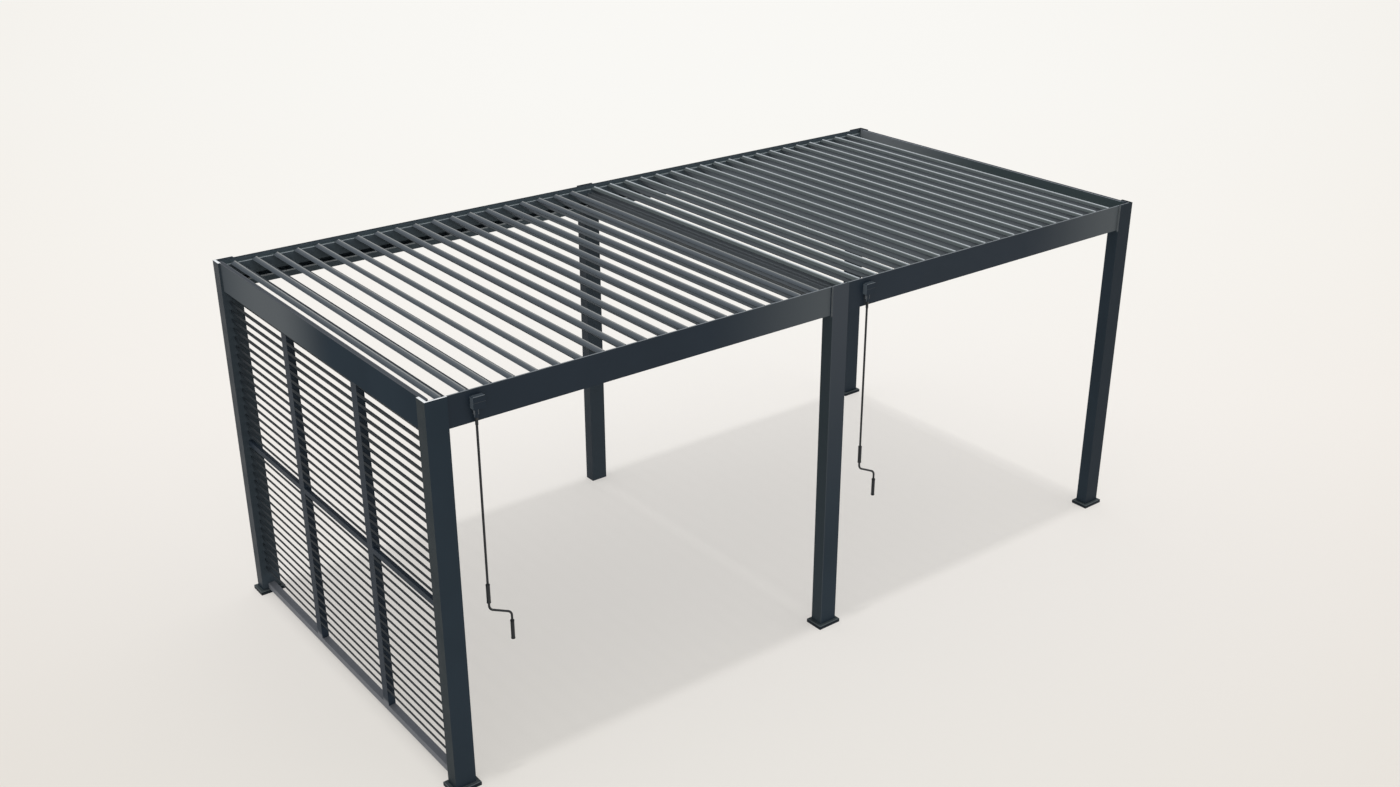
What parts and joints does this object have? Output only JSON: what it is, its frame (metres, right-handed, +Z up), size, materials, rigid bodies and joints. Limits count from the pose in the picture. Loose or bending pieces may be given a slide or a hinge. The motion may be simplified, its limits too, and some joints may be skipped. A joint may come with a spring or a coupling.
{
  "type": "louvered pergola",
  "caption": "Freestanding anthracite pergola with tilting roof louvres in two bays, hand cranks, gutter beams and a slatted screen on one side.",
  "frame": {"origin": "centre of the box around the whole pergola, on the ground", "axes": "+X along the long front to the right, -Y the front with the cranks, +Z up"},
  "size_m": [5.893, 2.932, 2.5],
  "materials": {
    "frame_coat": "satin powder coat, anthracite",
    "louvre_coat": "satin powder coat, anthracite",
    "slat_coat": "satin powder coat, anthracite",
    "gearbox_coat": "satin powder coat, anthracite",
    "crank_coat": "black coated steel",
    "anchor_metal": "galvanised"
  },
  "bodies": {
    "frame": {"front_posts": "frame_coat", "rear_posts": "frame_coat", "anchor_plates": "anchor_metal", "foot_covers": "frame_coat", "front_beam": "frame_coat", "rear_beam": "frame_coat", "left_beam": "frame_coat", "right_beam": "frame_coat", "middle_beam": "frame_coat", "screen_frame": "frame_coat", "screen_slats": "slat_coat", "gearboxes": "gearbox_coat"},
    "left_crank": {"left_crank": "crank_coat"},
    "right_crank": {"right_crank": "crank_coat"},
    "louvre_l01": {"louvre_l01": "louvre_coat"},
    "louvre_l02": {"louvre_l02": "louvre_coat"},
    "louvre_l03": {"louvre_l03": "louvre_coat"},
    "louvre_l04": {"louvre_l04": "louvre_coat"},
    "louvre_l05": {"louvre_l05": "louvre_coat"},
    "louvre_l06": {"louvre_l06": "louvre_coat"},
    "louvre_l07": {"louvre_l07": "louvre_coat"},
    "louvre_l08": {"louvre_l08": "louvre_coat"},
    "louvre_l09": {"louvre_l09": "louvre_coat"},
    "louvre_l10": {"louvre_l10": "louvre_coat"},
    "louvre_l11": {"louvre_l11": "louvre_coat"},
    "louvre_l12": {"louvre_l12": "louvre_coat"},
    "louvre_l13": {"louvre_l13": "louvre_coat"},
    "louvre_l14": {"louvre_l14": "louvre_coat"},
    "louvre_l15": {"louvre_l15": "louvre_coat"},
    "louvre_l16": {"louvre_l16": "louvre_coat"},
    "louvre_l17": {"louvre_l17": "louvre_coat"},
    "louvre_l18": {"louvre_l18": "louvre_coat"},
    "louvre_l19": {"louvre_l19": "louvre_coat"},
    "louvre_r01": {"louvre_r01": "louvre_coat"},
    "louvre_r02": {"louvre_r02": "louvre_coat"},
    "louvre_r03": {"louvre_r03": "louvre_coat"},
    "louvre_r04": {"louvre_r04": "louvre_coat"},
    "louvre_r05": {"louvre_r05": "louvre_coat"},
    "louvre_r06": {"louvre_r06": "louvre_coat"},
    "louvre_r07": {"louvre_r07": "louvre_coat"},
    "louvre_r08": {"louvre_r08": "louvre_coat"},
    "louvre_r09": {"louvre_r09": "louvre_coat"},
    "louvre_r10": {"louvre_r10": "louvre_coat"},
    "louvre_r11": {"louvre_r11": "louvre_coat"},
    "louvre_r12": {"louvre_r12": "louvre_coat"},
    "louvre_r13": {"louvre_r13": "louvre_coat"},
    "louvre_r14": {"louvre_r14": "louvre_coat"},
    "louvre_r15": {"louvre_r15": "louvre_coat"},
    "louvre_r16": {"louvre_r16": "louvre_coat"},
    "louvre_r17": {"louvre_r17": "louvre_coat"},
    "louvre_r18": {"louvre_r18": "louvre_coat"},
    "louvre_r19": {"louvre_r19": "louvre_coat"}
  },
  "joints": [
    {"name": "left_crank_turn", "type": "hinge", "parent": "frame", "child": "left_crank", "pos_m": [-2.6295, -1.4495, 2], "axis": [0, 0, 1], "range_deg": [-780, 620]},
    {"name": "louvre_l01_tilt", "type": "hinge", "parent": "frame", "child": "louvre_l01", "pos_m": [-2.782, 0, 2.4537], "axis": [0, 1, 0], "range_deg": [-39, 31]},
    {"name": "louvre_l02_tilt", "type": "hinge", "parent": "frame", "child": "louvre_l02", "pos_m": [-2.63455, 0, 2.4537], "axis": [0, 1, 0], "range_deg": [-39, 31]},
    {"name": "louvre_l03_tilt", "type": "hinge", "parent": "frame", "child": "louvre_l03", "pos_m": [-2.4871, 0, 2.4537], "axis": [0, 1, 0], "range_deg": [-39, 31]},
    {"name": "louvre_l04_tilt", "type": "hinge", "parent": "frame", "child": "louvre_l04", "pos_m": [-2.33965, 0, 2.4537], "axis": [0, 1, 0], "range_deg": [-39, 31]},
    {"name": "louvre_l05_tilt", "type": "hinge", "parent": "frame", "child": "louvre_l05", "pos_m": [-2.1922, 0, 2.4537], "axis": [0, 1, 0], "range_deg": [-39, 31]},
    {"name": "louvre_l06_tilt", "type": "hinge", "parent": "frame", "child": "louvre_l06", "pos_m": [-2.04475, 0, 2.4537], "axis": [0, 1, 0], "range_deg": [-39, 31]},
    {"name": "louvre_l07_tilt", "type": "hinge", "parent": "frame", "child": "louvre_l07", "pos_m": [-1.8973, 0, 2.4537], "axis": [0, 1, 0], "range_deg": [-39, 31]},
    {"name": "louvre_l08_tilt", "type": "hinge", "parent": "frame", "child": "louvre_l08", "pos_m": [-1.74985, 0, 2.4537], "axis": [0, 1, 0], "range_deg": [-39, 31]},
    {"name": "louvre_l09_tilt", "type": "hinge", "parent": "frame", "child": "louvre_l09", "pos_m": [-1.6024, 0, 2.4537], "axis": [0, 1, 0], "range_deg": [-39, 31]},
    {"name": "louvre_l10_tilt", "type": "hinge", "parent": "frame", "child": "louvre_l10", "pos_m": [-1.45495, 0, 2.4537], "axis": [0, 1, 0], "range_deg": [-39, 31]},
    {"name": "louvre_l11_tilt", "type": "hinge", "parent": "frame", "child": "louvre_l11", "pos_m": [-1.3075, 0, 2.4537], "axis": [0, 1, 0], "range_deg": [-39, 31]},
    {"name": "louvre_l12_tilt", "type": "hinge", "parent": "frame", "child": "louvre_l12", "pos_m": [-1.16005, 0, 2.4537], "axis": [0, 1, 0], "range_deg": [-39, 31]},
    {"name": "louvre_l13_tilt", "type": "hinge", "parent": "frame", "child": "louvre_l13", "pos_m": [-1.0126, 0, 2.4537], "axis": [0, 1, 0], "range_deg": [-39, 31]},
    {"name": "louvre_l14_tilt", "type": "hinge", "parent": "frame", "child": "louvre_l14", "pos_m": [-0.86515, 0, 2.4537], "axis": [0, 1, 0], "range_deg": [-39, 31]},
    {"name": "louvre_l15_tilt", "type": "hinge", "parent": "frame", "child": "louvre_l15", "pos_m": [-0.7177, 0, 2.4537], "axis": [0, 1, 0], "range_deg": [-39, 31]},
    {"name": "louvre_l16_tilt", "type": "hinge", "parent": "frame", "child": "louvre_l16", "pos_m": [-0.57025, 0, 2.4537], "axis": [0, 1, 0], "range_deg": [-39, 31]},
    {"name": "louvre_l17_tilt", "type": "hinge", "parent": "frame", "child": "louvre_l17", "pos_m": [-0.4228, 0, 2.4537], "axis": [0, 1, 0], "range_deg": [-39, 31]},
    {"name": "louvre_l18_tilt", "type": "hinge", "parent": "frame", "child": "louvre_l18", "pos_m": [-0.27535, 0, 2.4537], "axis": [0, 1, 0], "range_deg": [-39, 31]},
    {"name": "louvre_l19_tilt", "type": "hinge", "parent": "frame", "child": "louvre_l19", "pos_m": [-0.1279, 0, 2.4537], "axis": [0, 1, 0], "range_deg": [-39, 31]},
    {"name": "right_crank_turn", "type": "hinge", "parent": "frame", "child": "right_crank", "pos_m": [0.228, -1.4495, 2], "axis": [0, 0, 1], "range_deg": [-780, 620]},
    {"name": "louvre_r01_tilt", "type": "hinge", "parent": "frame", "child": "louvre_r01", "pos_m": [0.076, 0, 2.4537], "axis": [0, 1, 0], "range_deg": [-39, 31]},
    {"name": "louvre_r02_tilt", "type": "hinge", "parent": "frame", "child": "louvre_r02", "pos_m": [0.22345, 0, 2.4537], "axis": [0, 1, 0], "range_deg": [-39, 31]},
    {"name": "louvre_r03_tilt", "type": "hinge", "parent": "frame", "child": "louvre_r03", "pos_m": [0.3709, 0, 2.4537], "axis": [0, 1, 0], "range_deg": [-39, 31]},
    {"name": "louvre_r04_tilt", "type": "hinge", "parent": "frame", "child": "louvre_r04", "pos_m": [0.51835, 0, 2.4537], "axis": [0, 1, 0], "range_deg": [-39, 31]},
    {"name": "louvre_r05_tilt", "type": "hinge", "parent": "frame", "child": "louvre_r05", "pos_m": [0.6658, 0, 2.4537], "axis": [0, 1, 0], "range_deg": [-39, 31]},
    {"name": "louvre_r06_tilt", "type": "hinge", "parent": "frame", "child": "louvre_r06", "pos_m": [0.81325, 0, 2.4537], "axis": [0, 1, 0], "range_deg": [-39, 31]},
    {"name": "louvre_r07_tilt", "type": "hinge", "parent": "frame", "child": "louvre_r07", "pos_m": [0.9607, 0, 2.4537], "axis": [0, 1, 0], "range_deg": [-39, 31]},
    {"name": "louvre_r08_tilt", "type": "hinge", "parent": "frame", "child": "louvre_r08", "pos_m": [1.10815, 0, 2.4537], "axis": [0, 1, 0], "range_deg": [-39, 31]},
    {"name": "louvre_r09_tilt", "type": "hinge", "parent": "frame", "child": "louvre_r09", "pos_m": [1.2556, 0, 2.4537], "axis": [0, 1, 0], "range_deg": [-39, 31]},
    {"name": "louvre_r10_tilt", "type": "hinge", "parent": "frame", "child": "louvre_r10", "pos_m": [1.40305, 0, 2.4537], "axis": [0, 1, 0], "range_deg": [-39, 31]},
    {"name": "louvre_r11_tilt", "type": "hinge", "parent": "frame", "child": "louvre_r11", "pos_m": [1.5505, 0, 2.4537], "axis": [0, 1, 0], "range_deg": [-39, 31]},
    {"name": "louvre_r12_tilt", "type": "hinge", "parent": "frame", "child": "louvre_r12", "pos_m": [1.69795, 0, 2.4537], "axis": [0, 1, 0], "range_deg": [-39, 31]},
    {"name": "louvre_r13_tilt", "type": "hinge", "parent": "frame", "child": "louvre_r13", "pos_m": [1.8454, 0, 2.4537], "axis": [0, 1, 0], "range_deg": [-39, 31]},
    {"name": "louvre_r14_tilt", "type": "hinge", "parent": "frame", "child": "louvre_r14", "pos_m": [1.99285, 0, 2.4537], "axis": [0, 1, 0], "range_deg": [-39, 31]},
    {"name": "louvre_r15_tilt", "type": "hinge", "parent": "frame", "child": "louvre_r15", "pos_m": [2.1403, 0, 2.4537], "axis": [0, 1, 0], "range_deg": [-39, 31]},
    {"name": "louvre_r16_tilt", "type": "hinge", "parent": "frame", "child": "louvre_r16", "pos_m": [2.28775, 0, 2.4537], "axis": [0, 1, 0], "range_deg": [-39, 31]},
    {"name": "louvre_r17_tilt", "type": "hinge", "parent": "frame", "child": "louvre_r17", "pos_m": [2.4352, 0, 2.4537], "axis": [0, 1, 0], "range_deg": [-39, 31]},
    {"name": "louvre_r18_tilt", "type": "hinge", "parent": "frame", "child": "louvre_r18", "pos_m": [2.58265, 0, 2.4537], "axis": [0, 1, 0], "range_deg": [-39, 31]},
    {"name": "louvre_r19_tilt", "type": "hinge", "parent": "frame", "child": "louvre_r19", "pos_m": [2.7301, 0, 2.4537], "axis": [0, 1, 0], "range_deg": [-39, 31]}
  ],
  "couplings": [
    {"joint": "louvre_l01_tilt", "follows": "left_crank_turn", "ratio": 0.05},
    {"joint": "louvre_l02_tilt", "follows": "left_crank_turn", "ratio": 0.05},
    {"joint": "louvre_l03_tilt", "follows": "left_crank_turn", "ratio": 0.05},
    {"joint": "louvre_l04_tilt", "follows": "left_crank_turn", "ratio": 0.05},
    {"joint": "louvre_l05_tilt", "follows": "left_crank_turn", "ratio": 0.05},
    {"joint": "louvre_l06_tilt", "follows": "left_crank_turn", "ratio": 0.05},
    {"joint": "louvre_l07_tilt", "follows": "left_crank_turn", "ratio": 0.05},
    {"joint": "louvre_l08_tilt", "follows": "left_crank_turn", "ratio": 0.05},
    {"joint": "louvre_l09_tilt", "follows": "left_crank_turn", "ratio": 0.05},
    {"joint": "louvre_l10_tilt", "follows": "left_crank_turn", "ratio": 0.05},
    {"joint": "louvre_l11_tilt", "follows": "left_crank_turn", "ratio": 0.05},
    {"joint": "louvre_l12_tilt", "follows": "left_crank_turn", "ratio": 0.05},
    {"joint": "louvre_l13_tilt", "follows": "left_crank_turn", "ratio": 0.05},
    {"joint": "louvre_l14_tilt", "follows": "left_crank_turn", "ratio": 0.05},
    {"joint": "louvre_l15_tilt", "follows": "left_crank_turn", "ratio": 0.05},
    {"joint": "louvre_l16_tilt", "follows": "left_crank_turn", "ratio": 0.05},
    {"joint": "louvre_l17_tilt", "follows": "left_crank_turn", "ratio": 0.05},
    {"joint": "louvre_l18_tilt", "follows": "left_crank_turn", "ratio": 0.05},
    {"joint": "louvre_l19_tilt", "follows": "left_crank_turn", "ratio": 0.05},
    {"joint": "louvre_r01_tilt", "follows": "right_crank_turn", "ratio": 0.05},
    {"joint": "louvre_r02_tilt", "follows": "right_crank_turn", "ratio": 0.05},
    {"joint": "louvre_r03_tilt", "follows": "right_crank_turn", "ratio": 0.05},
    {"joint": "louvre_r04_tilt", "follows": "right_crank_turn", "ratio": 0.05},
    {"joint": "louvre_r05_tilt", "follows": "right_crank_turn", "ratio": 0.05},
    {"joint": "louvre_r06_tilt", "follows": "right_crank_turn", "ratio": 0.05},
    {"joint": "louvre_r07_tilt", "follows": "right_crank_turn", "ratio": 0.05},
    {"joint": "louvre_r08_tilt", "follows": "right_crank_turn", "ratio": 0.05},
    {"joint": "louvre_r09_tilt", "follows": "right_crank_turn", "ratio": 0.05},
    {"joint": "louvre_r10_tilt", "follows": "right_crank_turn", "ratio": 0.05},
    {"joint": "louvre_r11_tilt", "follows": "right_crank_turn", "ratio": 0.05},
    {"joint": "louvre_r12_tilt", "follows": "right_crank_turn", "ratio": 0.05},
    {"joint": "louvre_r13_tilt", "follows": "right_crank_turn", "ratio": 0.05},
    {"joint": "louvre_r14_tilt", "follows": "right_crank_turn", "ratio": 0.05},
    {"joint": "louvre_r15_tilt", "follows": "right_crank_turn", "ratio": 0.05},
    {"joint": "louvre_r16_tilt", "follows": "right_crank_turn", "ratio": 0.05},
    {"joint": "louvre_r17_tilt", "follows": "right_crank_turn", "ratio": 0.05},
    {"joint": "louvre_r18_tilt", "follows": "right_crank_turn", "ratio": 0.05},
    {"joint": "louvre_r19_tilt", "follows": "right_crank_turn", "ratio": 0.05}
  ]
}
